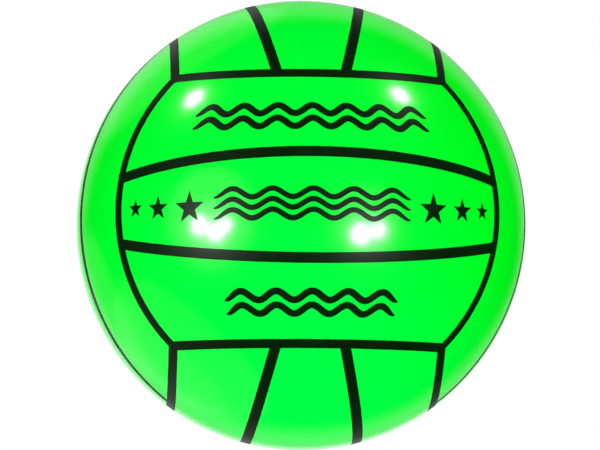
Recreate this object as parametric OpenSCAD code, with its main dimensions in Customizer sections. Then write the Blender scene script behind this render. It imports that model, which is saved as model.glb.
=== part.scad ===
// Water polo ball: a wound ball with a smooth moulded cover, black panel lines set flush in it,
// and a self-closing needle valve. All sizes are in millimetres and degrees.
// The origin is the ball's centre. -Y looks out of the front panel group, +Z is up, and the
// valve points along +Y.

/* [Ball] */
// Outside diameter of the pumped-up ball
ball_d = 220; // [180:1:260]
// Wall of the moulded cover
cover_t = 1.8; // [1.2:0.1:3]
// Thickness of the thread winding under the cover
winding_t = 0.5; // [0.4:0.1:1.2]
// Wall of the air bladder
bladder_t = 0.6; // [0.4:0.1:1.2]

/* [Panel lines] */
// Width of every black line
line_w = 5.1; // [2:0.1:8]
// Depth to which the lines are set into the cover
line_depth = 0.3; // [0.2:0.05:0.6]
// Middle panel of the front and back groups, from line centre to line centre, half-way along it
front_mid_w = 49.5; // [42:0.5:56]
// The same width at the ends of that panel
front_end_w = 31; // [22:0.5:40]
// Middle panel of the top and bottom groups, half-way along it
top_mid_w = 54; // [42:0.5:56]
// The same width at the ends of that panel
top_end_w = 32; // [22:0.5:40]
// Middle panel of the left and right groups, half-way along it
side_mid_w = 45; // [42:0.5:56]
// The same width at the ends of that panel
side_end_w = 29.5; // [22:0.5:40]

/* [Valve housing] */
// Diameter of the collar that comes up through the cover
collar_d = 14; // [12:0.5:18]
// Depth of the valve's face below the top of the cover
valve_sink = 0.3; // [0.25:0.05:0.6]
// Diameter of the flange that is bonded inside the bladder
flange_d = 34; // [26:1:44]
// Thickness of the flange next to the collar
flange_t = 1.4; // [0.8:0.1:2.5]
// Width of the thin rim that the flange tapers to
flange_taper_w = 5; // [2:0.5:6]
// Thickness at the outer edge of the flange
flange_edge_t = 0.5; // [0.3:0.1:0.7]
// Diameter of the tube that reaches into the bladder
tube_d = 11; // [10:0.5:11.5]
// Thickness of the lip that holds the core in at the tube's inner end
lip_t = 1.5; // [1:0.1:3]
// Film of rubber cement between the flange and the bladder
cement_t = 0.1; // [0.05:0.05:0.3]
// Clearance round the collar in the layers of the ball
collar_gap = 0.05; // [0.05:0.05:0.3]
// Chamfer round the edges of the housing
housing_chamfer = 0.4; // [0.2:0.1:0.6]

/* [Valve core] */
// Diameter of the core's flat head
head_d = 8.4; // [7.6:0.2:9.4]
// Thickness of the head
head_t = 1.2; // [0.8:0.1:2]
// Diameter of the core's neck
neck_d = 5.2; // [4.4:0.2:6]
// Length of the neck
neck_l = 5; // [3:0.5:8]
// Diameter of the bulb that locks the core in the housing
bulb_d = 6.8; // [6.4:0.1:7.4]
// Length of the bulb
bulb_l = 5; // [3.5:0.5:8]
// Length of the cone at each end of the bulb
bulb_cone_l = 1.2; // [0.6:0.1:1.6]
// Diameter of the tail that closes on itself inside the bladder
tail_d = 4.2; // [3.6:0.2:4.4]
// Length of the tail past the housing
tail_l = 4; // [2:0.5:8]
// Diameter of the tail's blunt tip
tail_tip_d = 2.8; // [2.6:0.1:3.4]
// Clearance between the core and the housing
core_gap = 0.05; // [0.02:0.01:0.1]
// Diameter of the hole that guides the needle
needle_d = 2.1; // [1.6:0.1:2.4]
// Depth of the guide hole below the valve's face
needle_depth = 8.5; // [6:0.5:9]
// Diameter of the funnel at the mouth of the guide hole
funnel_d = 3.4; // [2.8:0.2:4]
// Depth of the funnel
funnel_depth = 0.8; // [0.4:0.1:1.2]
// Width of the self-closing slit, across the tail
slit_w = 2.4; // [1.8:0.1:2.5]
// Opening of the slit when nothing is in it
slit_gap = 0.12; // [0.08:0.02:0.2]

/* [Hidden] */
$fn = 128;

// Overrun of a cutting shape past the face that it cuts
overrun = 0.5;

// Angle by which an outer line runs past its corners before it is mitred
corner_run = 2 * line_w / ball_d * 180 / PI;

// Radii of the surfaces, from the skin inwards
ball_r = ball_d / 2;
winding_r = ball_r - cover_t;
bladder_r = winding_r - winding_t;
chamber_r = bladder_r - bladder_t;
line_floor_r = ball_r - line_depth;

// The raised panels are rooted this deep in the cover, so that they are one with it
panel_root_r = line_floor_r - line_depth;

// Half the angle that a line's width takes up, seen from the centre
line_half_angle = line_w / ball_d * 180 / PI;

// The outer lines of a group lie in planes at this distance from the centre, so that three lines
// meet at each of the eight corners, which are the corners of a cube
corner = ball_r / sqrt(3);
edge_polar = acos(corner / ball_r);

// At a corner the lines are mitred through the points where their sides meet. These are the three
// coordinates of such a point on a ball of radius 1, from the largest down
tip_high = cos(edge_polar - line_half_angle);
tip_low = cos(edge_polar + line_half_angle);
tip_mid = sqrt(1 - tip_high * tip_high - tip_low * tip_low);

// The inner lines of a group are circles whose plane leans, found from the widths of the middle
// panel half-way along it and at its ends: the circle's plane leans by this angle, and the circle
// has this polar angle about its own axis
function mid_y(mid_w) = sqrt(ball_r * ball_r - mid_w * mid_w / 4);
function lean(widths) = atan((widths[0] - widths[1]) / 2 / (mid_y(widths[0]) - corner));
function inner_polar(widths) =
    acos((widths[0] / 2 * cos(lean(widths)) - mid_y(widths[0]) * sin(lean(widths))) / ball_r);

// Heights along the valve's axis, from the centre of the ball outwards
face_z = ball_r - valve_sink;
head_z = face_z - head_t;
bulb_z = head_z - neck_l;
lip_z = bulb_z - bulb_l;
tube_z = lip_z - lip_t;
tail_z = tube_z - tail_l;

// Each group of three panels: its name, its turn about Z, its turn about the cube's diagonal, the
// names of its two sides, and the two widths of its middle panel
GROUPS = [
    ["front", 0, 0, ["upper", "lower"], [front_mid_w, front_end_w]],
    ["back", 180, 0, ["upper", "lower"], [front_mid_w, front_end_w]],
    ["left", 0, -120, ["rear", "front"], [side_mid_w, side_end_w]],
    ["right", 180, -120, ["rear", "front"], [side_mid_w, side_end_w]],
    ["bottom", 0, 120, ["right", "left"], [top_mid_w, top_end_w]],
    ["top", 180, 120, ["right", "left"], [top_mid_w, top_end_w]],
];
SIDES = [0, 1];
KINDS = ["edge", "inner"];

function line_name(group, side, kind) = str(group[0], "_", group[3][side], "_", kind, "_line");

LINE_NODES = [for (group = GROUPS, side = SIDES, kind = KINDS) line_name(group, side, kind)];

// Turns a shape made for the front group onto another group and side
module on_group(group, side) {
    rotate(a = group[2], v = [1, 1, 1])
        rotate(group[1])
            mirror([0, 0, side])
                children();
}

// Points the valve, which is drawn along +Z, out of the back of the ball
module on_valve_axis() {
    rotate([-90, 0, 0])
        children();
}

// A hollow ball between two radii
module layer(outer_r, inner_r) {
    difference() {
        sphere(outer_r);
        sphere(inner_r);
    }
}

// Everything on one side of a plane through the centre, the side that the normal points to
module half_space(normal) {
    reach = 2 * ball_r;
    rotate([0, acos(normal.z / norm(normal)), atan2(normal.y, normal.x)])
        translate([-reach, -reach, 0])
            cube([2 * reach, 2 * reach, reach]);
}

// A curved bar that runs round the Z axis: its section is a sector between two radii, centred on
// a polar angle, so that its sides point at the ball's centre
module bar(polar, inner_r, outer_r, start, turn) {
    reach = 2 * outer_r;
    low = polar - line_half_angle;
    high = polar + line_half_angle;
    rotate_extrude(angle = turn, start = start)
        intersection() {
            difference() {
                circle(outer_r);
                circle(inner_r);
            }
            polygon([
                [0, 0],
                [reach * sin(low), reach * cos(low)],
                [reach * sin(high), reach * cos(high)],
            ]);
        }
}

// Outer line of the front group, in the depth of its channel, run on past both corners
module edge_bar() {
    bar(edge_polar, line_floor_r, ball_r, 225 - corner_run, 90 + 2 * corner_run);
}

// Everything within a polar angle of +Z, seen from the centre
module cone(polar) {
    reach = 2 * ball_r;
    rotate_extrude()
        polygon([
            [0, 0],
            [reach * sin(polar), reach * cos(polar)],
            [reach * sin(polar), reach],
            [0, reach],
        ]);
}

// The field of the front group between the lines at its two ends, from the skin down to a radius
module group_field(inner_r) {
    intersection() {
        layer(ball_r, inner_r);
        rotate([90, 0, 0])
            cone(edge_polar - line_half_angle);
    }
}

// A slab across the ball, square to the leaning axis of an inner line, between two polar angles.
// A high polar angle of 0 lets it run on past the skin.
module slab(widths, high_polar, low_polar) {
    reach = 2 * ball_r;
    low = ball_r * cos(low_polar);
    high = high_polar > 0 ? ball_r * cos(high_polar) : ball_d;
    rotate([-lean(widths), 0, 0])
        translate([-reach, -reach, low])
            cube([2 * reach, 2 * reach, high - low]);
}

// Middle panel of the front group, raised between its lines
module middle_panel(widths) {
    difference() {
        group_field(panel_root_r);
        for (side = SIDES)
            mirror([0, 0, side])
                slab(widths, 0, inner_polar(widths) + line_half_angle);
    }
}

// Outer panel of the front group, raised between its lines
module outer_panel(widths) {
    difference() {
        intersection() {
            group_field(panel_root_r);
            slab(widths, 0, inner_polar(widths) - line_half_angle);
        }
        cone(edge_polar + line_half_angle);
    }
}

// The eighteen raised panels, with the channels for the lines between them
module panels() {
    for (group = GROUPS) {
        on_group(group, 0)
            middle_panel(group[4]);
        for (side = SIDES)
            on_group(group, side)
                outer_panel(group[4]);
    }
}

// Outer line: the bar with its ends mitred where three lines meet at 120 degrees
module edge_line() {
    intersection() {
        edge_bar();
        half_space([tip_high - tip_low, tip_low - tip_mid, tip_high - tip_mid]);
        half_space([tip_low - tip_high, tip_low - tip_mid, tip_high - tip_mid]);
        half_space([tip_high - tip_mid, tip_low - tip_high, tip_low - tip_mid]);
        half_space([tip_mid - tip_high, tip_low - tip_high, tip_low - tip_mid]);
    }
}

// Inner line: a strip across the group, butted against the sides of the two lines that it meets
module inner_line(widths) {
    intersection() {
        group_field(line_floor_r);
        slab(widths, inner_polar(widths) - line_half_angle, inner_polar(widths) + line_half_angle);
    }
}

// Hole for the valve's collar through the layers of the ball
module collar_hole() {
    on_valve_axis()
        cylinder(d = collar_d + 2 * collar_gap, h = ball_d);
}

// Moulded cover: one smooth skin with shallow channels for the lines
module cover() {
    color([0.0, 0.93, 0.16])
        difference() {
            union() {
                layer(line_floor_r, winding_r);
                panels();
            }
            collar_hole();
        }
}

// Thread winding that keeps the ball round
module winding() {
    color([0.86, 0.84, 0.78])
        difference() {
            layer(winding_r, bladder_r);
            collar_hole();
        }
}

// Rubber bladder that holds the air
module bladder() {
    color([0.12, 0.12, 0.13])
        difference() {
            layer(bladder_r, chamber_r);
            collar_hole();
        }
}

// Half section of the housing: flange against the bladder, collar up to the skin, tube inwards
module housing_section() {
    flange_top_r = chamber_r - cement_t;
    flange_r = flange_d / 2;
    taper_r = flange_r - flange_taper_w;
    collar_r = collar_d / 2;
    tube_r = tube_d / 2;
    difference() {
        union() {
            intersection() {
                difference() {
                    circle(flange_top_r);
                    circle(flange_top_r - flange_edge_t);
                }
                square([flange_r, ball_r]);
            }
            intersection() {
                difference() {
                    circle(flange_top_r);
                    circle(flange_top_r - flange_t);
                }
                square([taper_r, ball_r]);
            }
            translate([0, flange_top_r - flange_t])
                square([collar_r, face_z - housing_chamfer - flange_top_r + flange_t]);
            translate([0, face_z - housing_chamfer])
                polygon([
                    [0, 0],
                    [collar_r, 0],
                    [collar_r - housing_chamfer, housing_chamfer],
                    [0, housing_chamfer],
                ]);
            translate([0, tube_z])
                polygon([
                    [0, 0],
                    [tube_r - housing_chamfer, 0],
                    [tube_r, housing_chamfer],
                    [tube_r, flange_top_r - flange_t - tube_z + overrun],
                    [0, flange_top_r - flange_t - tube_z + overrun],
                ]);
        }
        housing_bore_section();
    }
}

// Half section of the space in the housing: the core's own outline, grown by the clearance
module housing_bore_section() {
    head_r = head_d / 2 + core_gap;
    neck_r = neck_d / 2 + core_gap;
    bulb_r = bulb_d / 2 + core_gap;
    tail_r = tail_d / 2 + core_gap;
    polygon([
        [0, face_z + overrun],
        [head_r, face_z + overrun],
        [head_r, head_z],
        [neck_r, head_z],
        [neck_r, bulb_z],
        [bulb_r, bulb_z - bulb_cone_l],
        [bulb_r, lip_z + bulb_cone_l],
        [tail_r, lip_z],
        [tail_r, tube_z - overrun],
        [0, tube_z - overrun],
    ]);
}

// Rubber housing of the valve
module valve_housing() {
    color([0.10, 0.10, 0.10])
        on_valve_axis()
            rotate_extrude()
                housing_section();
}

// Half section of the core, with the needle's guide hole taken out
module core_section() {
    head_r = head_d / 2;
    neck_r = neck_d / 2;
    bulb_r = bulb_d / 2;
    tail_r = tail_d / 2;
    tip_r = tail_tip_d / 2;
    needle_r = needle_d / 2;
    difference() {
        polygon([
            [0, face_z],
            [head_r, face_z],
            [head_r, head_z],
            [neck_r, head_z],
            [neck_r, bulb_z],
            [bulb_r, bulb_z - bulb_cone_l],
            [bulb_r, lip_z + bulb_cone_l],
            [tail_r, lip_z],
            [tail_r, tube_z],
            [tip_r, tail_z],
            [0, tail_z],
        ]);
        polygon([
            [0, face_z + overrun],
            [funnel_d / 2, face_z + overrun],
            [funnel_d / 2, face_z],
            [needle_r, face_z - funnel_depth],
            [needle_r, face_z - needle_depth],
            [0, face_z - needle_depth - needle_r],
        ]);
    }
}

// Rubber core: a plug with a guide hole for the needle that ends in a self-closing slit
module valve_core() {
    color([0.16, 0.16, 0.16])
        on_valve_axis()
            difference() {
                rotate_extrude()
                    core_section();
                translate([-slit_w / 2, -slit_gap / 2, tail_z - overrun])
                    cube([slit_w, slit_gap, face_z - needle_depth - tail_z + overrun]);
            }
}

cover();
winding();
bladder();
valve_housing();
valve_core();
for (group = GROUPS, side = SIDES) {
    color([0.06, 0.07, 0.06]) on_group(group, side) edge_line();
    color([0.06, 0.07, 0.06]) on_group(group, side) inner_line(group[4]);
}
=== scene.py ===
"""Looks of the water polo ball: a glossy green moulded skin, flush black line inlays, plain printed
stars and wave bands, a rubber needle valve, and the thread winding and bladder inside.

Everything is in metres, in the frame of the solids: the ball's centre is the origin, -Y looks out
of the front panel group, +Z is up and the valve points along +Y.
"""

import bpy
import numpy as np
from mathutils import Matrix, Vector


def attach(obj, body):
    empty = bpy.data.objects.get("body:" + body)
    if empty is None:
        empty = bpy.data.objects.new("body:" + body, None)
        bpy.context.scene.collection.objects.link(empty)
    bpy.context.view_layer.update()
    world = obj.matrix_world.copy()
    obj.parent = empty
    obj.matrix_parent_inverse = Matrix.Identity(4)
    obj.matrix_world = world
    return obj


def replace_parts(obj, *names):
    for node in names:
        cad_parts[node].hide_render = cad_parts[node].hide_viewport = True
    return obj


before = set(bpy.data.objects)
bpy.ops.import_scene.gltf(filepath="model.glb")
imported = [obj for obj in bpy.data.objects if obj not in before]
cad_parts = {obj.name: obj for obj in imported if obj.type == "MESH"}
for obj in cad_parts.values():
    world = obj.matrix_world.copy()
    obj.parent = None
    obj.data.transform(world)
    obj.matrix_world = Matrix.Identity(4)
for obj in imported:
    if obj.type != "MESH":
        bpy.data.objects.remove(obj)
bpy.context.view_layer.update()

# Sizes of the ball, the same as in its solids

BALL_R = 0.110
COVER_T = 0.0018
WINDING_T = 0.0005
LINE_W = 0.0051
LINE_DEPTH = 0.0003
INK_RISE = 0.00003
INK_DEPTH = 0.0001
INK_SUNK = 0.6  # depth of the ink's edge under the skin, in shares of its rise
INK_POWER = 60  # the higher, the steeper the ink comes up from its edge
COLLAR_HOLE_R = 0.00705
# Widths of a group's middle panel, half-way along it and at its ends
FRONT_WIDTHS = (0.0495, 0.0310)
SIDE_WIDTHS = (0.0450, 0.0295)
TOP_WIDTHS = (0.0540, 0.0320)

COVER_INNER_R = BALL_R - COVER_T
WINDING_INNER_R = COVER_INNER_R - WINDING_T
CORNER = BALL_R / np.sqrt(3)  # each coordinate of the corners where three groups meet
EDGE_POLAR = np.arccos(1 / np.sqrt(3))  # angle of an outer line from the axis that it runs round
HALF_LINE = LINE_W / 2 / BALL_R  # half the width of a line, as an angle


# Turns


def turned_about(axis, angle):
    """Matrix of a turn about an axis through the centre, by the right-hand rule."""
    return np.array(Matrix.Rotation(angle, 3, Vector(axis)))


ABOUT_Z = turned_about((0, 0, 1), np.pi)
ABOUT_DIAGONAL = turned_about((1, 1, 1), np.radians(120))
UPSIDE_DOWN = np.diag([1.0, 1.0, -1.0])
SAME = np.eye(3)

# Each group: the turn that takes the front group to it, its side names and its panel widths
GROUPS = {
    "front": (SAME, ("upper", "lower"), FRONT_WIDTHS),
    "back": (ABOUT_Z, ("upper", "lower"), FRONT_WIDTHS),
    "left": (ABOUT_DIAGONAL.T, ("rear", "front"), SIDE_WIDTHS),
    "right": (ABOUT_DIAGONAL.T @ ABOUT_Z, ("rear", "front"), SIDE_WIDTHS),
    "bottom": (ABOUT_DIAGONAL, ("right", "left"), TOP_WIDTHS),
    "top": (ABOUT_DIAGONAL @ ABOUT_Z, ("right", "left"), TOP_WIDTHS),
}


# Making meshes from worked-out points


def new_object(name, data):
    """An object at the origin of the scene."""
    made = bpy.data.objects.new(name, data)
    bpy.context.scene.collection.objects.link(made)
    return made


def piece_from(name, points, faces, crease=35):
    """A mesh object from an array of points and a list of arrays of faces, one array for each
    number of corners, smooth shaded except across edges sharper than the crease angle."""
    points = np.asarray(points, float).reshape(-1, 3)
    corners = np.concatenate([np.ravel(part) for part in faces])
    sizes = np.concatenate([np.full(len(part), np.shape(part)[1]) for part in faces])
    mesh = bpy.data.meshes.new(name)
    mesh.vertices.add(len(points))
    mesh.vertices.foreach_set("co", np.ravel(points))
    mesh.loops.add(len(corners))
    mesh.loops.foreach_set("vertex_index", corners)
    mesh.polygons.add(len(sizes))
    mesh.polygons.foreach_set("loop_start", np.cumsum(sizes) - sizes)
    mesh.update(calc_edges=True)
    mesh.validate()
    mesh.polygons.foreach_set("use_smooth", np.ones(len(mesh.polygons), bool))
    mesh.set_sharp_from_angle(angle=np.radians(crease))
    mesh.update()
    return new_object(name, mesh)


def quads_between(rows, columns, joined=False):
    """Four-cornered faces of a grid of points numbered row by row: each face takes the point, its
    neighbour in the next row, that one's neighbour, and the point's own neighbour. In a grid that
    is joined, each row's last point is a neighbour of its first."""
    last = columns if joined else columns - 1
    row, column = np.meshgrid(np.arange(rows - 1), np.arange(last), indexing="ij")
    here = row * columns + column
    beside = row * columns + (column + 1) % columns
    return np.stack([here, here + columns, beside + columns, beside], -1).reshape(-1, 4)


def closed_round(name, first, rings, last, crease=35):
    """Closed surface from a grid of rings, one row for each, whose two ends close in a fan of
    triangles at a single point. Seen from outside, a ring's points run to the right where the
    next ring lies above it."""
    rows, around = rings.shape[:2]
    points = np.vstack([rings.reshape(-1, 3), [first], [last]])
    here = np.arange(around)
    beside = (here + 1) % around
    end_ring, end_point = (rows - 1) * around, rows * around
    first_fan = np.stack([np.full(around, end_point), beside, here], -1)
    last_fan = np.stack([np.full(around, end_point + 1), end_ring + here, end_ring + beside], -1)
    faces = [quads_between(rows, around, joined=True)[:, ::-1], np.vstack([first_fan, last_fan])]
    return piece_from(name, points, faces, crease)


def lathe(name, profile, around):
    """Surface of revolution about the valve's axis. The profile runs from a point on the axis to
    another point on it, as distances from the axis and heights along it; a point at angle t is
    (distance sin t, height, distance cos t)."""
    profile = np.asarray(profile, float)
    t = np.linspace(0, 2 * np.pi, around, endpoint=False)
    out, height = profile[1:-1, :1], profile[1:-1, 1:]
    rings = np.stack([out * np.sin(t), height + 0 * t, out * np.cos(t)], -1)
    return closed_round(name, (0, profile[0, 1], 0), rings, (0, profile[-1, 1], 0))


def arc(radius, angles):
    """Part of a profile: points on a circle round the ball's centre, by their angles from the
    valve's axis."""
    return np.stack([radius * np.sin(angles), radius * np.cos(angles)], -1)


def film(name, top, under):
    """Closed thin solid between two grids of points with the same rows and columns: the top grid,
    the under grid with its faces turned over, and a strip that joins their borders."""
    top, under = np.asarray(top), np.asarray(under)
    rows, columns = top.shape[:2]
    count = rows * columns
    faces = quads_between(rows, columns)
    near = np.arange(columns)
    far = (rows - 1) * columns + near
    left = np.arange(rows) * columns
    right = left + columns - 1
    outline = np.concatenate([near, right[1:], far[::-1][1:], left[::-1][1:-1]])
    following = np.roll(outline, -1)
    strip = np.stack([outline, following, following + count, outline + count], -1)
    points = np.vstack([top.reshape(-1, 3), under.reshape(-1, 3)])
    # The top's faces have to look away from the ball's centre
    a, b, c = points[faces[len(faces) // 2][:3]]
    if np.dot(np.cross(b - a, c - a), a) < 0:
        faces, strip = faces[:, ::-1], strip[:, ::-1]
    return piece_from(name, points, [faces, faces[:, ::-1] + count, strip], crease=50)


def on_ball(polar, around):
    """Direction with a polar angle from +Z and an angle around +Z."""
    return np.stack(
        [np.sin(polar) * np.cos(around), np.sin(polar) * np.sin(around), np.cos(polar)], -1
    )


# Places across a stroke of ink, from one edge to the other, closer together towards its edges
ACROSS = np.array([-1, -0.996, -0.985, -0.95, -0.85, -0.5, 0, 0.5, 0.85, 0.95, 0.985, 0.996, 1])


def ink_surface(across):
    """Distance of the ink's surface from the ball's centre over its width: it comes up steeply
    from under the skin at an edge, where across is 1 or -1, and is level over the rest, by the
    square root of one less a high power of across."""
    section = np.sqrt(1 - across**INK_POWER)
    return BALL_R + INK_RISE * ((1 + INK_SUNK) * section - INK_SUNK)


# The moulded skin


def make_skin():
    """Hollow ball with a hole for the valve's collar. Its section runs from the pole opposite the
    valve round the outside to a small rounded lip at the hole, and back along the inside."""
    lip, around = 0.0003, 320
    outer_rows, inner_rows, lip_rows = 200, 24, 6
    hole_outer = np.arcsin((COLLAR_HOLE_R + lip) / BALL_R)
    hole_inner = np.arcsin(COLLAR_HOLE_R / COVER_INNER_R)
    outer = np.linspace(np.pi, hole_outer, outer_rows)
    inner = np.linspace(hole_inner, np.pi, inner_rows)
    corner = np.linspace(0.15, 1, lip_rows) * np.pi / 2
    lip_height = BALL_R * np.cos(hole_outer)
    profile = np.vstack(
        [
            arc(BALL_R, outer),
            np.stack(
                [
                    COLLAR_HOLE_R + lip * (1 - np.sin(corner)),
                    lip_height - lip * (1 - np.cos(corner)),
                ],
                -1,
            ),
            arc(COVER_INNER_R, inner),
        ]
    )
    profile[0, 0] = profile[-1, 0] = 0
    return lathe("moulded_skin", profile, around)


# The line inlays


def leaning_line(widths):
    """Lean and polar angle of an inner line's circle, from the middle panel's two widths: the
    lean's tangent is the drop from half of one width to half of the other over the distance
    between them, and the polar angle's cosine is the leaning plane's height over the radius."""
    middle_out = np.sqrt(BALL_R**2 - widths[0] ** 2 / 4)
    lean = np.arctan((widths[0] - widths[1]) / 2 / (middle_out - CORNER))
    height = widths[0] / 2 * np.cos(lean) - middle_out * np.sin(lean)
    return lean, np.arccos(height / BALL_R)


def line_film(name, polar, low_end, high_end, turn):
    """Line inlay: rows run along it between two angles that may differ across its width, and
    columns run across it over a range of polar angles. A point is its direction times the radius
    of the ink's surface for the top, or of the groove's floor for the underside."""
    steps = 90
    along = np.linspace(0, 1, steps)[:, None]
    direction = on_ball(
        np.broadcast_to(polar, (steps, len(polar))), low_end + (high_end - low_end) * along
    )
    top = direction * ink_surface(ACROSS)[None, :, None]
    under = direction * (BALL_R - LINE_DEPTH)
    return film(name, top @ turn.T, under @ turn.T)


def make_edge_line(name, turn):
    """Outer line of a group: the directions within half a line's width of one cone about +Z. Each
    point of its two ends lies on a mitre plane through the centre, the corner and the point where
    two lines' sides meet, where the plane's normal and the direction make a right angle."""
    polar = EDGE_POLAR + HALF_LINE * ACROSS
    high, low = np.cos(EDGE_POLAR - HALF_LINE), np.cos(EDGE_POLAR + HALF_LINE)
    middle = np.sqrt(1 - high**2 - low**2)
    outer_mitre = np.array([low - high, low - middle, high - middle])
    inner_mitre = np.array([middle - high, low - high, low - middle])
    normal = np.where((polar > EDGE_POLAR)[:, None], outer_mitre, inner_mitre)
    level = -normal[:, 2] / np.tan(polar) / np.hypot(normal[:, 0], normal[:, 1])
    facing = np.arctan2(normal[:, 1], normal[:, 0])
    end = np.mod(facing + np.arccos(level), 2 * np.pi)
    return line_film(name, polar, 3 * np.pi - end, end, turn)


def make_inner_line(name, turn, widths):
    """Inner line of a group: a circle that leans with the middle panel's taper, cut where it meets
    the cones that bound the group."""
    lean, line_polar = leaning_line(widths)
    polar = line_polar + HALF_LINE * ACROSS
    reach = np.cos(EDGE_POLAR - HALF_LINE) + np.cos(polar) * np.sin(lean)
    end = 2 * np.pi - np.arcsin(reach / (np.sin(polar) * np.cos(lean)))
    leaning = turned_about((1, 0, 0), -lean)
    return line_film(name, polar, 3 * np.pi - end, end, turn @ leaning)


def make_lines():
    """All the line inlays, each under its solid's name."""
    lines = []
    for group, (turn, sides, widths) in GROUPS.items():
        for side, flip in zip(sides, (SAME, UPSIDE_DOWN)):
            edge, inner = f"{group}_{side}_edge_line", f"{group}_{side}_inner_line"
            lines.append((edge, make_edge_line(edge + "_ink", turn @ flip)))
            lines.append((inner, make_inner_line(inner + "_ink", turn @ flip, widths)))
    return lines


# Plain printed ornaments on the front group


def front_direction(sideways, up):
    """Direction of a point of the front group from its angle to the right and its angle up."""
    return np.stack(
        [np.cos(up) * np.sin(sideways), -np.cos(up) * np.cos(sideways), np.sin(up)], -1
    )


def make_star(name, sideways, up, radius):
    """Five-pointed star laid on the ball: rays from its centre reach a straight edge between a
    point and a notch, and the distance along each ray is measured over the skin."""
    rays, notch = 80, 0.40 * radius
    turn = np.linspace(0, 2 * np.pi, rays, endpoint=False)
    fold = np.abs((turn + np.pi / 5) % (2 * np.pi / 5) - np.pi / 5)
    edge = radius * notch * np.sin(np.pi / 5)
    edge = edge / (radius * np.sin(fold) + notch * np.sin(np.pi / 5 - fold))
    centre = front_direction(sideways, up)
    right = np.array([np.cos(sideways), np.sin(sideways), 0.0])
    upward = np.cross(centre, right)
    # Places along a ray, from the centre to the edge, closer together towards the edge
    share = np.array([0.3, 0.6, 0.85, 0.95, 0.985, 0.996, 1.0])[:, None]
    spread = share * edge / BALL_R
    ray = np.sin(turn)[:, None] * right + np.cos(turn)[:, None] * upward
    direction = np.cos(spread)[..., None] * centre + np.sin(spread)[..., None] * ray
    top = direction * ink_surface(share)[..., None]
    under = direction[::-1] * (BALL_R - INK_DEPTH)
    rings = np.concatenate([top, under])
    first, last = centre * (BALL_R + INK_RISE), centre * (BALL_R - INK_DEPTH)
    return closed_round(name, first, rings, last, crease=50)


def make_wave(name, up, half_length, waves, swing, stroke):
    """Wave stroke along a level line: its height is a cosine of the distance along it, its width is
    held over the middle and narrows to a small round tip at each end, as an ellipse does. A tip's
    length is in half waves. It keeps a little width at its end, so that no face there is flat."""
    steps, tip, narrowing = 60, 1.2, 0.997
    along = np.linspace(-1, 1, steps * waves + 1)
    from_end = (1 - np.abs(along)) * waves / tip
    width = stroke / 2 * np.sqrt(1 - np.clip(1 - from_end, 0, 1) ** 2 * narrowing)
    phase = np.pi * waves * along
    centre_line = swing * np.cos(phase)
    slope = -swing * np.sin(phase) * np.pi * waves / (half_length * BALL_R * np.cos(up))
    slant = 1 / np.sqrt(1 + slope**2)
    sideways = along * half_length
    reach = ACROSS * width[:, None]
    rise_angle = (centre_line[:, None] + reach * slant[:, None]) / BALL_R
    shift_angle = -reach * (slope * slant)[:, None] / (BALL_R * np.cos(up))
    direction = front_direction(sideways[:, None] + shift_angle, up + rise_angle)
    top = direction * ink_surface(ACROSS)[None, :, None]
    return film(name, top, direction * (BALL_R - INK_DEPTH))


# Each star: its place as angles to the right and up from the middle of the front, and its radius
STARS = (
    ("outer_left", -0.839, 0.003, 0.0046),
    ("middle_left", -0.707, -0.003, 0.0061),
    ("inner_left", -0.545, -0.008, 0.0081),
    ("inner_right", 0.545, -0.008, 0.0081),
    ("middle_right", 0.707, -0.003, 0.0061),
    ("outer_right", 0.839, 0.003, 0.0046),
)
# Each band: its height angle, half its length as an angle, its waves, its swing, the width of a
# stroke, and the distances of its strokes from the band's middle
WAVE_BANDS = (
    ("upper", 0.392, 0.566, 7, 0.0022, 0.0034, (0.0034, -0.0034)),
    ("middle", 0.003, 0.432, 5, 0.0020, 0.0026, (0.0049, 0.0, -0.0049)),
    ("lower", -0.422, 0.412, 5, 0.0022, 0.0034, (0.0034, -0.0034)),
)


def make_ornaments():
    """Six plain stars and three bands of waves."""
    ornaments = [make_star(f"star_{where}", *place) for where, *place in STARS]
    for band, up, half_length, waves, swing, stroke, offsets in WAVE_BANDS:
        for number, offset in enumerate(offsets, 1):
            ornaments.append(
                make_wave(
                    f"wave_{band}_{number}", up + offset / BALL_R, half_length, waves, swing, stroke
                )
            )
    return ornaments


# The thread winding


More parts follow.
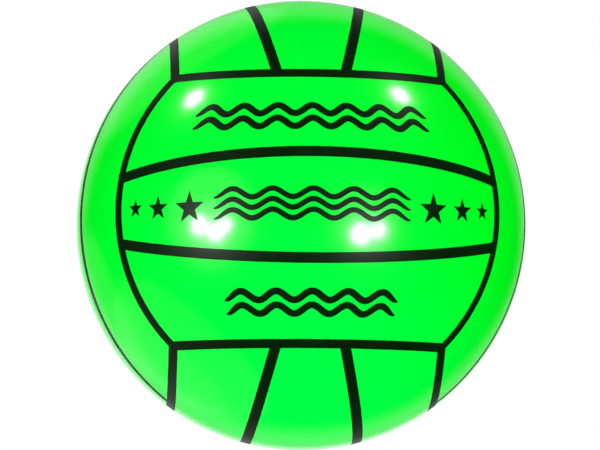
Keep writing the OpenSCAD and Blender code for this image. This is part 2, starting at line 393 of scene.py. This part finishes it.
def make_winding():
    """Threads wound round the bladder on a thin layer of latex. Each thread is a ring on a great
    circle whose pole comes from a golden spiral, turned towards the valve so that the threads
    pass clear of it; its section is a five-sided tube: ring radius plus thread radius times the
    cosine, out of the ring's plane by the sine. The rings lie in layers, each a step deeper."""
    count, steps, sides = 84, 120, 5
    thread_r, clearance, layer_step, layers = 0.00016, 0.00001, 0.00006, 4
    lowest, rise = 0.10, 0.88
    number = np.arange(count)
    lift = lowest + rise * (number + 0.5) / count
    spin = number * np.pi * (3 - np.sqrt(5))
    flat = np.sqrt(1 - lift**2)
    pole = np.stack([flat * np.cos(spin), lift, flat * np.sin(spin)], -1)
    first = np.cross(pole, [0.0, 1.0, 0.0])
    first /= np.linalg.norm(first, axis=1)[:, None]
    second = np.cross(pole, first)
    turn = np.linspace(0, 2 * np.pi, steps, endpoint=False)
    girth = np.linspace(0, 2 * np.pi, sides, endpoint=False)
    radial = (
        np.cos(turn)[None, :, None] * first[:, None] + np.sin(turn)[None, :, None] * second[:, None]
    )
    ring_r = COVER_INNER_R - thread_r - clearance - layer_step * (number % layers)
    out = ring_r[:, None, None, None] + thread_r * np.cos(girth)[None, None, :, None]
    points = radial[:, :, None] * out + pole[:, None, None] * thread_r * np.sin(girth)[:, None]
    step, side = np.meshgrid(np.arange(steps), np.arange(sides), indexing="ij")
    here = step * sides + side
    onward = (step + 1) % steps * sides + side
    beside = step * sides + (side + 1) % sides
    across = (step + 1) % steps * sides + (side + 1) % sides
    ring = np.stack([here, onward, across, beside], -1).reshape(-1, 4)
    faces = (ring[None] + (np.arange(count) * steps * sides)[:, None, None]).reshape(-1, 4)
    return piece_from("thread_winding", points, [faces], crease=80)


def make_latex_layer():
    """Thin closed layer that the threads sink into, open at the valve's collar: two profiles on
    circles round the centre, joined at the hole and turned about the valve's axis."""
    depth, around, outer_rows, inner_rows = 0.0003, 96, 60, 30
    outer_r, inner_r = COVER_INNER_R - depth, WINDING_INNER_R
    outer = np.linspace(np.pi, np.arcsin(COLLAR_HOLE_R / outer_r), outer_rows)
    inner = np.linspace(np.arcsin(COLLAR_HOLE_R / inner_r), np.pi, inner_rows)
    profile = np.vstack([arc(outer_r, outer), arc(inner_r, inner)])
    profile[0, 0] = profile[-1, 0] = 0
    return lathe("latex_layer", profile, around)


# Materials


def new_group(name, place, values, outputs):
    """A node group of masks and heights: its vector input, its number inputs with the values they
    start from and its number outputs, all by name. Gives the group, the calls that add a node and
    link two sockets, and its input and output nodes."""
    group = bpy.data.node_groups.new(name, "ShaderNodeTree")
    new_socket = group.interface.new_socket
    new_socket(place, in_out="INPUT", socket_type="NodeSocketVector")
    for socket_name, value in values.items():
        socket = new_socket(socket_name, in_out="INPUT", socket_type="NodeSocketFloat")
        socket.default_value = value
    for socket_name in outputs:
        new_socket(socket_name, in_out="OUTPUT", socket_type="NodeSocketFloat")
    node, link = group.nodes.new, group.links.new
    return group, node, link, node("NodeGroupInput"), node("NodeGroupOutput")


def placed_group(tree, group, socket_names=(), values=()):
    """A node group placed in a tree, with its own values for the named inputs."""
    placed = tree.nodes.new("ShaderNodeGroup")
    placed.node_tree = group
    for socket_name, value in zip(socket_names, values):
        placed.inputs[socket_name].default_value = value
    return placed


def maths(tree, *operations, kind="ShaderNodeMath"):
    """New nodes of one kind, Math or Vector Math, one for each operation."""
    made = [tree.nodes.new(kind) for _ in operations]
    for one, operation in zip(made, operations):
        one.operation = operation
    return made


def smooth_rise(tree, start=0.0, full=1.0):
    """New node that rises smoothly from 0 at the start value to 1 at the full value."""
    rise = tree.nodes.new("ShaderNodeMapRange")
    rise.interpolation_type = "SMOOTHSTEP"
    rise.inputs["From Min"].default_value = start
    rise.inputs["From Max"].default_value = full
    return rise


def colour_mix(tree, **colours):
    """New node that mixes colour A with colour B."""
    mix = tree.nodes.new("ShaderNodeMix")
    mix.data_type = "RGBA"
    for socket_name, colour in colours.items():
        mix.inputs[socket_name].default_value = (*colour, 1)
    return mix


def relief(tree, depth):
    """New bump node of full strength, whose height of 1 stands for a depth in metres."""
    bump = tree.nodes.new("ShaderNodeBump")
    bump.inputs["Strength"].default_value = 1.0
    bump.inputs["Distance"].default_value = depth
    return bump


def new_material(name):
    """A material of nodes, with its tree and its main shader."""
    material = bpy.data.materials.new(name)
    material.use_nodes = True
    return material, material.node_tree, material.node_tree.nodes["Principled BSDF"]


def make_grain_group():
    """Moulded surface: a broad slow variation and a fine pebble, as a tone about 0.5 and a height
    between 0 and 1."""
    values = {"Broad Scale": 18.0, "Fine Scale": 900.0, "Fine Share": 0.5}
    outputs = ("Tone", "Height")
    group, node, link, source, sink = new_group("moulded_grain", "Place", values, outputs)
    broad, fine = node("ShaderNodeTexNoise"), node("ShaderNodeTexNoise")
    tone = node("ShaderNodeMix")
    broad.inputs["Detail"].default_value = 3.0
    fine.inputs["Detail"].default_value = 2.0
    link(source.outputs["Place"], broad.inputs["Vector"])
    link(source.outputs["Place"], fine.inputs["Vector"])
    link(source.outputs["Broad Scale"], broad.inputs["Scale"])
    link(source.outputs["Fine Scale"], fine.inputs["Scale"])
    link(source.outputs["Fine Share"], tone.inputs["Factor"])
    link(broad.outputs["Fac"], tone.inputs["A"])
    link(fine.outputs["Fac"], tone.inputs["B"])
    link(tone.outputs["Result"], sink.inputs["Tone"])
    link(fine.outputs["Fac"], sink.inputs["Height"])
    return group


def make_patch_group():
    """Talc or handling marks: a mask from 0 to 1 that comes up in soft patches."""
    values = {"Scale": 40.0, "Start": 0.5, "Full": 0.8}
    group, node, link, source, sink = new_group("soft_patches", "Place", values, ("Mask",))
    patch, rise = node("ShaderNodeTexNoise"), smooth_rise(group)
    patch.inputs["Detail"].default_value = 6.0
    patch.inputs["Roughness"].default_value = 0.6
    link(source.outputs["Place"], patch.inputs["Vector"])
    link(source.outputs["Scale"], patch.inputs["Scale"])
    link(patch.outputs["Fac"], rise.inputs["Value"])
    link(source.outputs["Start"], rise.inputs["From Min"])
    link(source.outputs["Full"], rise.inputs["From Max"])
    link(rise.outputs["Result"], sink.inputs["Mask"])
    return group


def make_turned_group():
    """Marks round the valve's axis, from the distance of a place to that axis: fine rings left by a
    turned mould, as a height that is half of one plus the sine of the distance times the rings'
    number, and a rub mask that comes up smoothly from one distance to another."""
    values = {"Rings": 14000.0, "Rub Start": 0.006, "Rub Full": 0.007}
    group, _, link, source, sink = new_group("turned_marks", "Place", values, ("Height", "Rub"))
    flat, distance = maths(group, "MULTIPLY", "LENGTH", kind="ShaderNodeVectorMath")
    turns, wave, height = maths(group, "MULTIPLY", "SINE", "MULTIPLY_ADD")
    rub = smooth_rise(group)
    flat.inputs[1].default_value = (1.0, 0.0, 1.0)
    height.inputs[1].default_value = height.inputs[2].default_value = 0.5
    link(source.outputs["Place"], flat.inputs[0])
    link(flat.outputs["Vector"], distance.inputs[0])
    link(distance.outputs["Value"], turns.inputs[0])
    link(source.outputs["Rings"], turns.inputs[1])
    link(turns.outputs["Value"], wave.inputs[0])
    link(wave.outputs["Value"], height.inputs[0])
    link(distance.outputs["Value"], rub.inputs["Value"])
    link(source.outputs["Rub Start"], rub.inputs["From Min"])
    link(source.outputs["Rub Full"], rub.inputs["From Max"])
    link(height.outputs["Value"], sink.inputs["Height"])
    link(rub.outputs["Result"], sink.inputs["Rub"])
    return group


GRAIN = make_grain_group()
TURNED = make_turned_group()
PATCHES = make_patch_group()

TONE_LOW, TONE_HIGH = 0.3, 0.7  # most of a grain's tone lies between these


def finish(name, low, high, roughness, bump, grain, patches, marked, rough_marked, specular=0.5):
    """A material on object coordinates: two colours mixed by the grain's tone, a range of
    roughness, a bump in metres, and soft patches of a third colour and roughness. The grain is
    given by its broad scale, its fine scale and the fine one's share, and the patches by their
    scale and the noise at which they start and are full."""
    material, tree, shader = new_material(name)
    node, link = tree.nodes.new, tree.links.new
    place, rough = node("ShaderNodeTexCoord"), node("ShaderNodeMapRange")
    roughened = node("ShaderNodeMix")
    surface = placed_group(tree, GRAIN, ("Broad Scale", "Fine Scale", "Fine Share"), grain)
    marks = placed_group(tree, PATCHES, ("Scale", "Start", "Full"), patches)
    tone, coloured = colour_mix(tree, A=low, B=high), colour_mix(tree, B=marked)
    raised = relief(tree, bump)
    rough.inputs["From Min"].default_value = TONE_LOW
    rough.inputs["From Max"].default_value = TONE_HIGH
    rough.inputs["To Min"].default_value, rough.inputs["To Max"].default_value = roughness
    roughened.inputs["B"].default_value = rough_marked
    shader.inputs["Specular IOR Level"].default_value = specular
    link(place.outputs["Object"], surface.inputs["Place"])
    link(place.outputs["Object"], marks.inputs["Place"])
    link(surface.outputs["Tone"], tone.inputs["Factor"])
    link(surface.outputs["Tone"], rough.inputs["Value"])
    link(surface.outputs["Height"], raised.inputs["Height"])
    link(marks.outputs["Mask"], coloured.inputs["Factor"])
    link(tone.outputs["Result"], coloured.inputs["A"])
    link(marks.outputs["Mask"], roughened.inputs["Factor"])
    link(rough.outputs["Result"], roughened.inputs["A"])
    link(coloured.outputs["Result"], shader.inputs["Base Color"])
    link(roughened.outputs["Result"], shader.inputs["Roughness"])
    link(raised.outputs["Normal"], shader.inputs["Normal"])
    return material


skin_finish = finish(
    "glossy_green_skin",
    low=(0.0, 0.90, 0.002),
    high=(0.0, 0.94, 0.080),
    roughness=(0.15, 0.19),
    bump=0.0000024,
    grain=(9.0, 650.0, 0.25),
    patches=(30.0, 0.60, 0.85),
    marked=(0.0, 0.92, 0.030),
    rough_marked=0.21,
)
ink_finish = finish(
    "satin_black_ink",
    low=(0.0006, 0.0090, 0.0006),
    high=(0.0022, 0.0140, 0.0022),
    roughness=(0.32, 0.42),
    bump=0.0000020,
    grain=(60.0, 1400.0, 0.5),
    patches=(90.0, 0.55, 0.8),
    marked=(0.0050, 0.0180, 0.0050),
    rough_marked=0.48,
    specular=0.12,
)
valve_finish = finish(
    "moulded_valve_rubber",
    low=(0.009, 0.009, 0.010),
    high=(0.020, 0.020, 0.021),
    roughness=(0.34, 0.50),
    bump=0.000007,
    grain=(420.0, 4200.0, 0.65),
    patches=(900.0, 0.5, 0.78),
    marked=(0.034, 0.034, 0.033),
    rough_marked=0.58,
)
core_finish = finish(
    "soft_core_rubber",
    low=(0.026, 0.026, 0.028),
    high=(0.044, 0.044, 0.046),
    roughness=(0.30, 0.44),
    bump=0.000005,
    grain=(380.0, 4600.0, 0.6),
    patches=(800.0, 0.52, 0.8),
    marked=(0.062, 0.062, 0.060),
    rough_marked=0.52,
)
thread_finish = finish(
    "latex_soaked_thread",
    low=(0.50, 0.46, 0.37),
    high=(0.74, 0.70, 0.60),
    roughness=(0.55, 0.75),
    bump=0.00002,
    grain=(120.0, 2200.0, 0.6),
    patches=(60.0, 0.5, 0.75),
    marked=(0.66, 0.58, 0.40),
    rough_marked=0.42,
)
latex_finish = finish(
    "dried_latex",
    low=(0.56, 0.50, 0.36),
    high=(0.70, 0.64, 0.48),
    roughness=(0.38, 0.55),
    bump=0.00001,
    grain=(50.0, 900.0, 0.4),
    patches=(35.0, 0.5, 0.8),
    marked=(0.46, 0.40, 0.27),
    rough_marked=0.6,
)
bladder_finish = finish(
    "talced_butyl_rubber",
    low=(0.010, 0.010, 0.011),
    high=(0.022, 0.022, 0.024),
    roughness=(0.45, 0.6),
    bump=0.00001,
    grain=(40.0, 1000.0, 0.5),
    patches=(26.0, 0.45, 0.85),
    marked=(0.12, 0.12, 0.115),
    rough_marked=0.85,
)


def add_painted_reflection(material, share, start, left, sideways, upwards):
    """Painted reflection: a slow drift of a material's colour over the ball, which paints a bluish
    veil of reflected light into it. Its tone becomes a share of the drift and the rest of the
    grain's. The drift is a start, less a weight times the square of the distance from an upright
    plane left of the middle, less another times the height, in ball radii."""
    tree = material.node_tree
    node, link = tree.nodes.new, tree.links.new
    coloured = tree.nodes["Principled BSDF"].inputs["Base Color"].links[0].from_node
    tone = coloured.inputs["A"].links[0].from_node
    grain_tone = tone.inputs["Factor"].links[0].from_socket
    place, drifted = node("ShaderNodeTexCoord"), node("ShaderNodeMix")
    aside, squared, height = maths(
        tree, "MULTIPLY_ADD", "DOT_PRODUCT", "DOT_PRODUCT", kind="ShaderNodeVectorMath"
    )
    lower, drift = maths(tree, "ADD", "MULTIPLY_ADD")
    aside.inputs[1].default_value = (1 / BALL_R, 0.0, 0.0)
    aside.inputs[2].default_value = (left, 0.0, 0.0)
    height.inputs[1].default_value = (0.0, 0.0, -upwards / BALL_R)
    lower.inputs[1].default_value = start
    drift.inputs[1].default_value = -sideways
    drift.use_clamp = True
    drifted.inputs["Factor"].default_value = share
    link(place.outputs["Object"], aside.inputs[0])
    link(aside.outputs["Vector"], squared.inputs[0])
    link(aside.outputs["Vector"], squared.inputs[1])
    link(place.outputs["Object"], height.inputs[0])
    link(height.outputs["Value"], lower.inputs[0])
    link(squared.outputs["Value"], drift.inputs[0])
    link(lower.outputs["Value"], drift.inputs[2])
    link(grain_tone, drifted.inputs["A"])
    link(drift.outputs["Value"], drifted.inputs["B"])
    link(drifted.outputs["Result"], tone.inputs["Factor"])


# Painted reflection: the green is bluest low down and a little left of the middle, where a bluish
# veil of reflected light is painted in, and yellowest at the upper right
add_painted_reflection(skin_finish, share=0.8, start=0.535, left=0.15, sideways=0.605, upwards=0.31)


def add_turned_marks(material, rings, rub_start, rub_full, depth, worn):
    """Rings of a turned mould under a material's grain, and a paler rub towards its rim. The rub
    has an even part everywhere and a part more in the material's own patches."""
    even, patchy = 0.35, 0.55
    tree = material.node_tree
    node, link = tree.nodes.new, tree.links.new
    shader = tree.nodes["Principled BSDF"]
    grain_bump = shader.inputs["Normal"].links[0].from_node
    patches = next(n for n in tree.nodes if n.type == "GROUP" and n.node_tree == PATCHES)
    colour = shader.inputs["Base Color"].links[0].from_socket
    place, ring_bump = node("ShaderNodeTexCoord"), relief(tree, depth)
    marks = placed_group(
        tree, TURNED, ("Rings", "Rub Start", "Rub Full"), (rings, rub_start, rub_full)
    )
    broken, rubbed = maths(tree, "MULTIPLY_ADD", "MULTIPLY")
    broken.use_clamp = True
    broken.inputs[1].default_value = patchy
    broken.inputs[2].default_value = even
    worn_in = colour_mix(tree, B=worn)
    link(place.outputs["Object"], marks.inputs["Place"])
    link(marks.outputs["Height"], ring_bump.inputs["Height"])
    link(ring_bump.outputs["Normal"], grain_bump.inputs["Normal"])
    link(patches.outputs["Mask"], broken.inputs[0])
    link(marks.outputs["Rub"], rubbed.inputs[0])
    link(broken.outputs["Value"], rubbed.inputs[1])
    link(rubbed.outputs["Value"], worn_in.inputs["Factor"])
    link(colour, worn_in.inputs["A"])
    link(worn_in.outputs["Result"], shader.inputs["Base Color"])


add_turned_marks(
    valve_finish,
    rings=15000.0,
    rub_start=0.0060,
    rub_full=0.0070,
    depth=0.000010,
    worn=(0.085, 0.085, 0.083),
)
add_turned_marks(
    core_finish,
    rings=21000.0,
    rub_start=0.0035,
    rub_full=0.0043,
    depth=0.000006,
    worn=(0.100, 0.100, 0.098),
)


# The pieces, each with its finish and the solid that it stands for


def dress(piece, material):
    """Gives a new piece its material and its body."""
    piece.data.materials.append(material)
    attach(piece, "root")
    return piece


skin = dress(make_skin(), skin_finish)
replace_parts(skin, "cover")
# The floor takes the ball's shadow, but not its strong green, which would drown the shadow
skin.visible_diffuse = False
for node_name, line in make_lines():
    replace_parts(dress(line, ink_finish), node_name)
for ornament in make_ornaments():
    dress(ornament, ink_finish)
winding = dress(make_winding(), thread_finish)
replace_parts(winding, "winding")
dress(make_latex_layer(), latex_finish)

for node_name, material in (
    ("valve_housing", valve_finish),
    ("valve_core", core_finish),
    ("bladder", bladder_finish),
):
    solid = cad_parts[node_name]
    solid.data.materials.clear()
    solid.data.materials.append(material)


# Camera: its place and lens come from fitting the line pattern to the photo

PICTURE_W = 600.0
SENSOR_W = 36.0
RADIUS_PIXELS = 224.3  # the ball's radius on a plane through its middle, in pixels of the picture
RADII_AWAY = 17.0
LEFT_PIXELS, UP_PIXELS = 1.1, 0.5  # how far the camera stands beside the line to the ball's middle
TOWARDS_CAMERA = Vector((-0.0516, -0.9944, -0.0925)).normalized()
RIGHT = Vector((0.9986, -0.0521, 0.0038))
UP = TOWARDS_CAMERA.cross(RIGHT).normalized()
RIGHT = UP.cross(TOWARDS_CAMERA).normalized()
DISTANCE = RADII_AWAY * BALL_R
PIXEL = BALL_R / RADIUS_PIXELS

camera_data = bpy.data.cameras.new("camera")
camera_data.sensor_width = SENSOR_W
camera_data.lens = RADIUS_PIXELS * RADII_AWAY * SENSOR_W / PICTURE_W
camera_data.clip_start = 0.05
camera_data.clip_end = 50.0
camera = new_object("camera", camera_data)
camera.matrix_world = Matrix.Translation(
    TOWARDS_CAMERA * DISTANCE - RIGHT * LEFT_PIXELS * PIXEL + UP * UP_PIXELS * PIXEL
) @ Matrix((RIGHT, UP, TOWARDS_CAMERA)).transposed().to_4x4()
bpy.context.scene.camera = camera


# Light


def backed_towards(direction):
    """Turn of a light that stands in a direction and shines back along it."""
    return direction.to_track_quat("Z", "Y").to_matrix().to_4x4()


def make_lamp(name, right, up, distance, radius, radiance, surfaces):
    """Round soft lamp placed by its highlight, which the picture shows at a place given in ball
    radii to the right and up from the ball's middle. The line of sight through that place meets
    the ball at a spot, and the lamp stands at a distance from it along the mirrored line: the line
    of sight less twice the normal times the line's part along it. Its power is pi times its area
    times its radiance."""
    eye = TOWARDS_CAMERA * DISTANCE
    sight = ((RIGHT * right + UP * up) * BALL_R - eye).normalized()
    along = eye.dot(sight)
    spot = eye - sight * (along + np.sqrt(along**2 - DISTANCE**2 + BALL_R**2))
    normal = spot.normalized()
    mirrored = sight - 2 * sight.dot(normal) * normal
    data = bpy.data.lights.new(name, "AREA")
    data.shape = "DISK"
    data.size = 2 * radius
    data.energy = np.pi**2 * radius**2 * radiance
    data.cycles.use_multiple_importance_sampling = surfaces == "gloss"
    lamp = new_object(name, data)
    lamp.matrix_world = Matrix.Translation(spot + mirrored * distance) @ backed_towards(mirrored)
    lamp.visible_camera = False
    lamp.visible_diffuse = surfaces == "matt"
    lamp.visible_glossy = surfaces == "gloss"


# Lamps for gloss make the highlights, with halos and glows round the middle ones, and the cards
# pale the rims. The soft boxes light the matt colour alone. Each: its name, its highlight's place,
# its distance from the ball, radius and radiance, and the surfaces that it is for
for lamp_facts in (
    ("lamp_upper_left", -0.477, 0.566, 1.3, 0.079, 52.0, "gloss"),
    ("lamp_upper_right", 0.442, 0.580, 1.3, 0.075, 52.0, "gloss"),
    ("lamp_left_outer", -0.455, 0.001, 0.42, 0.031, 54.0, "gloss"),
    ("lamp_left_middle", -0.382, -0.031, 0.42, 0.029, 60.0, "gloss"),
    ("lamp_left_inner", -0.337, 0.004, 0.42, 0.022, 58.0, "gloss"),
    ("lamp_right_inner", 0.267, -0.038, 0.42, 0.036, 56.0, "gloss"),
    ("lamp_right_outer", 0.345, -0.020, 0.42, 0.027, 54.0, "gloss"),
    ("halo_left", -0.405, -0.006, 0.42, 0.100, 2.1, "gloss"),
    ("halo_right", 0.305, -0.027, 0.42, 0.084, 2.2, "gloss"),
    ("glow_left", -0.408, 0.035, 0.42, 0.200, 1.0, "gloss"),
    ("glow_right", 0.290, 0.015, 0.42, 0.145, 0.9, "gloss"),
    ("card_near", -0.62, -0.62, 0.60, 0.260, 0.18, "gloss"),
    ("card_far", -0.53, -0.60, 0.60, 0.400, 0.24, "gloss"),
    ("card_left", -0.86, -0.38, 0.60, 0.200, 0.20, "gloss"),
    ("card_upper", -0.54, 0.77, 0.60, 0.280, 0.22, "gloss"),
    ("soft_box_left", -0.42, 0.50, 1.10, 0.300, 1.2, "matt"),
    ("soft_box_right", 0.30, 0.55, 1.10, 0.300, 0.9, "matt"),
):
    make_lamp(*lamp_facts)


def make_wash(name, upwards, strength):
    """Even light for matt surfaces from the whole half of the room above the ball, or below it."""
    data = bpy.data.lights.new(name, "SUN")
    data.energy = strength
    data.angle = np.pi
    data.cycles.use_multiple_importance_sampling = False
    wash = new_object(name, data)
    wash.matrix_world = backed_towards(Vector((0, 0, upwards)))
    wash.visible_camera = wash.visible_glossy = False


# The sweep throws more light up from its floor than comes down on it
make_wash("wash_above", 1, 3.1)
make_wash("wash_below", -1, 3.8)


def make_glow_group():
    """Glow of the white sweep in gloss, for a direction: the sum of two parts that rise smoothly
    from none to a level. The wide part rises with the direction's part along Y plus a share of its
    part along Z, up or down, and a smaller share for up alone. The rim part rises with the part
    along Y, close to it."""
    upright_share, up_share = 0.30, 0.04
    values = {
        "Start": 0.80,
        "Full": 0.96,
        "Level": 0.38,
        "Rim Start": 0.935,
        "Rim Full": 0.985,
        "Rim Level": 0.60,
    }
    group, node, link, source, sink = new_group("sweep_glow", "Direction", values, ("Glow",))
    parts, wide, rim = node("ShaderNodeSeparateXYZ"), smooth_rise(group), smooth_rise(group)
    upright, spread, reach, both = maths(
        group, "ABSOLUTE", "MULTIPLY_ADD", "MULTIPLY_ADD", "ADD"
    )
    spread.inputs[1].default_value = upright_share
    reach.inputs[1].default_value = up_share
    link(source.outputs["Direction"], parts.inputs["Vector"])
    link(parts.outputs["Z"], upright.inputs[0])
    link(upright.outputs["Value"], spread.inputs[0])
    link(parts.outputs["Y"], spread.inputs[2])
    link(parts.outputs["Z"], reach.inputs[0])
    link(spread.outputs["Value"], reach.inputs[2])
    link(reach.outputs["Value"], wide.inputs["Value"])
    link(parts.outputs["Y"], rim.inputs["Value"])
    for rise, prefix in ((wide, ""), (rim, "Rim ")):
        link(source.outputs[prefix + "Start"], rise.inputs["From Min"])
        link(source.outputs[prefix + "Full"], rise.inputs["From Max"])
        link(source.outputs[prefix + "Level"], rise.inputs["To Max"])
    link(wide.outputs["Result"], both.inputs[0])
    link(rim.outputs["Result"], both.inputs[1])
    link(both.outputs["Value"], sink.inputs["Glow"])
    return group


def make_studio():
    """World of the white sweep: pure white to the camera, also through clear surfaces, its glow to
    glossy surfaces, and black to matt ones, which the washes and soft boxes light. It is met only
    by rays that the surfaces send out, so that each kind of ray gets its own light."""
    world = bpy.data.worlds.new("white_sweep")
    world.use_nodes = True
    world.cycles.sampling_method = "NONE"
    tree = world.node_tree
    node, link = tree.nodes.new, tree.links.new
    shine = tree.nodes["Background"]
    shine.inputs["Color"].default_value = (1, 1, 1, 1)
    direction, path = node("ShaderNodeTexCoord"), node("ShaderNodeLightPath")
    sweep, seen = placed_group(tree, make_glow_group()), node("ShaderNodeMix")
    gloss, clear = maths(tree, "MULTIPLY", "MAXIMUM")
    seen.inputs["B"].default_value = 1.0
    link(direction.outputs["Generated"], sweep.inputs["Direction"])
    link(sweep.outputs["Glow"], gloss.inputs[0])
    link(path.outputs["Is Glossy Ray"], gloss.inputs[1])
    link(path.outputs["Is Camera Ray"], clear.inputs[0])
    link(path.outputs["Is Transmission Ray"], clear.inputs[1])
    link(clear.outputs["Value"], seen.inputs["Factor"])
    link(gloss.outputs["Value"], seen.inputs["A"])
    link(seen.outputs["Result"], shine.inputs["Strength"])
    bpy.context.scene.world = world


make_studio()


def make_floor():
    """Pale sweep that the ball lies on. Round the ball it is matt paper that takes the ball's
    shadow, with a breath of the ball's green bounce light painted into the paper's colour, and it
    turns to the white of the backdrop with distance from the ball. It is clear from below. A wash
    gives the light that comes up from it, so it hides neither that nor the low cards."""
    half, level = 6.0, -BALL_R
    corners = [
        (-half, -half, level),
        (half, -half, level),
        (half, half, level),
        (-half, half, level),
    ]
    floor = piece_from("floor", corners, [[(0, 1, 2, 3)]])
    floor.visible_diffuse = floor.visible_glossy = floor.visible_shadow = False
    material, tree, paper = new_material("pale_sweep")
    node, link = tree.nodes.new, tree.links.new
    paper.inputs["Roughness"].default_value = 0.8
    paper.inputs["Specular IOR Level"].default_value = 0.0
    place, distance = node("ShaderNodeTexCoord"), node("ShaderNodeVectorMath")
    distance.operation = "LENGTH"
    # Distances from the ball's middle over which the painted green bounce light fades, and then the
    # paper itself
    painted_bounce_fade, fade = smooth_rise(tree, 0.11, 0.24), smooth_rise(tree, 0.25, 1.50)
    # Painted bounce light: the paper is painted pale green near the ball, for the green light that
    # the ball throws on it
    painted_bounce_paper = colour_mix(tree, A=(0.66, 0.86, 0.68), B=(0.86, 0.86, 0.86))
    white, clear = node("ShaderNodeEmission"), node("ShaderNodeBsdfTransparent")
    swept, choice = node("ShaderNodeMixShader"), node("ShaderNodeMixShader")
    side = node("ShaderNodeNewGeometry")
    link(place.outputs["Object"], distance.inputs[0])
    link(distance.outputs["Value"], painted_bounce_fade.inputs["Value"])
    link(distance.outputs["Value"], fade.inputs["Value"])
    link(painted_bounce_fade.outputs["Result"], painted_bounce_paper.inputs["Factor"])
    link(painted_bounce_paper.outputs["Result"], paper.inputs["Base Color"])
    link(fade.outputs["Result"], swept.inputs["Fac"])
    link(paper.outputs["BSDF"], swept.inputs[1])
    link(white.outputs["Emission"], swept.inputs[2])
    link(side.outputs["Backfacing"], choice.inputs["Fac"])
    link(swept.outputs["Shader"], choice.inputs[1])
    link(clear.outputs["BSDF"], choice.inputs[2])
    link(choice.outputs["Shader"], tree.nodes["Material Output"].inputs["Surface"])
    floor.data.materials.append(material)


make_floor()

scene = bpy.context.scene
scene.view_settings.view_transform = "Standard"
